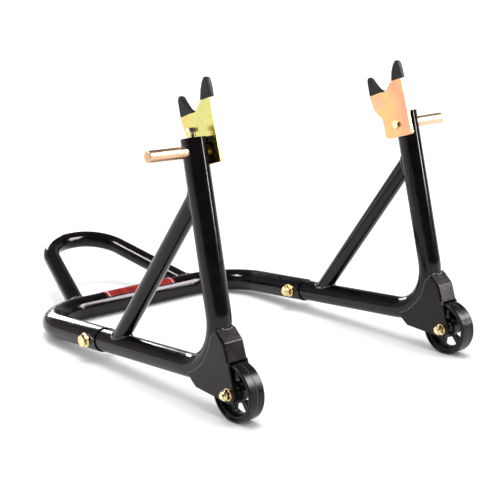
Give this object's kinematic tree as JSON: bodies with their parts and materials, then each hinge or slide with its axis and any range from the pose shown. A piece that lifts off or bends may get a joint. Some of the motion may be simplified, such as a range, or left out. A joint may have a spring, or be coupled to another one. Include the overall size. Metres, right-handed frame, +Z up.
{
  "type": "motorcycle paddock stand",
  "caption": "Rear paddock stand: bent tube U frame with handle loop, raked uprights with side struts, V hook plates on sliding pins, and small front wheels in folded brackets.",
  "frame": {"origin": "on the floor, midway between the two sides and midway between the front of the wheels and the back of the handle", "axes": "+X to the right-hand upright seen from the front wheels, +Y back towards the handle, +Z up"},
  "size_m": [0.5182, 0.7552, 0.4126],
  "materials": {
    "frame_black": "gloss black powder coat",
    "plug_black": "gloss black powder coat",
    "bracket_grey": "satin dark grey powder coat",
    "wheel_plastic": "semi-gloss moulded black",
    "bush_steel": "bare turned steel",
    "pin_zinc": "pale yellow zinc plate",
    "hook_zinc": "yellow iridescent zinc plate",
    "cap_rubber": "dark grey moulded rubber",
    "fastener_zinc": "yellow zinc plate",
    "label_red": "plain red gloss film"
  },
  "bodies": {
    "frame": {"base_tube": "frame_black", "handle_tube": "frame_black", "left_arm_tube": "frame_black", "right_arm_tube": "frame_black", "left_strut": "frame_black", "right_strut": "frame_black", "left_top_plug": "plug_black", "right_top_plug": "plug_black", "left_wheel_bracket": "bracket_grey", "right_wheel_bracket": "bracket_grey", "left_wheel_bush": "bush_steel", "right_wheel_bush": "bush_steel", "axle_bolts": "fastener_zinc", "axle_lock_nuts": "fastener_zinc", "axle_washers": "fastener_zinc", "arm_bolts": "fastener_zinc", "arm_lock_nuts": "fastener_zinc", "arm_washers": "fastener_zinc", "label": "label_red"},
    "left_wheel": {"left_wheel": "wheel_plastic"},
    "left_pin": {"left_hook_pin": "pin_zinc", "left_plate_bolt": "fastener_zinc"},
    "left_hook": {"left_hook_plate": "hook_zinc", "left_rear_prong_cap": "cap_rubber", "left_front_prong_cap": "cap_rubber"},
    "left_clamp": {"left_clamp_bolt": "fastener_zinc"},
    "right_wheel": {"right_wheel": "wheel_plastic"},
    "right_pin": {"right_hook_pin": "pin_zinc", "right_plate_bolt": "fastener_zinc"},
    "right_hook": {"right_hook_plate": "hook_zinc", "right_rear_prong_cap": "cap_rubber", "right_front_prong_cap": "cap_rubber"},
    "right_clamp": {"right_clamp_bolt": "fastener_zinc"}
  },
  "joints": [
    {"name": "left_wheel_spin", "type": "hinge", "parent": "frame", "child": "left_wheel", "pos_m": [-0.1934, -0.3406, 0.037], "axis": [1, 0, 0], "continuous": true},
    {"name": "left_pin_slide", "type": "slide", "parent": "frame", "child": "left_pin", "axis": [0.9998, -0.0038, -0.0175], "range_m": [0, 0.04]},
    {"name": "left_hook_swivel", "type": "hinge", "parent": "left_pin", "child": "left_hook", "pos_m": [-0.18843, -0.26073, 0.3229], "axis": [0.9998, -0.0038, -0.0175], "range_deg": [-110, 110]},
    {"name": "left_clamp_slide", "type": "slide", "parent": "frame", "child": "left_clamp", "axis": [0.0179, 0.214, 0.9767], "range_m": [0, 0.005]},
    {"name": "right_wheel_spin", "type": "hinge", "parent": "frame", "child": "right_wheel", "pos_m": [0.1934, -0.3406, 0.037], "axis": [1, 0, 0], "continuous": true},
    {"name": "right_pin_slide", "type": "slide", "parent": "frame", "child": "right_pin", "axis": [-0.9998, -0.0038, -0.0175], "range_m": [0, 0.04]},
    {"name": "right_hook_swivel", "type": "hinge", "parent": "right_pin", "child": "right_hook", "pos_m": [0.18843, -0.26073, 0.3229], "axis": [-0.9998, -0.0038, -0.0175], "range_deg": [-110, 110]},
    {"name": "right_clamp_slide", "type": "slide", "parent": "frame", "child": "right_clamp", "axis": [-0.0179, 0.214, 0.9767], "range_m": [0, 0.005]}
  ]
}
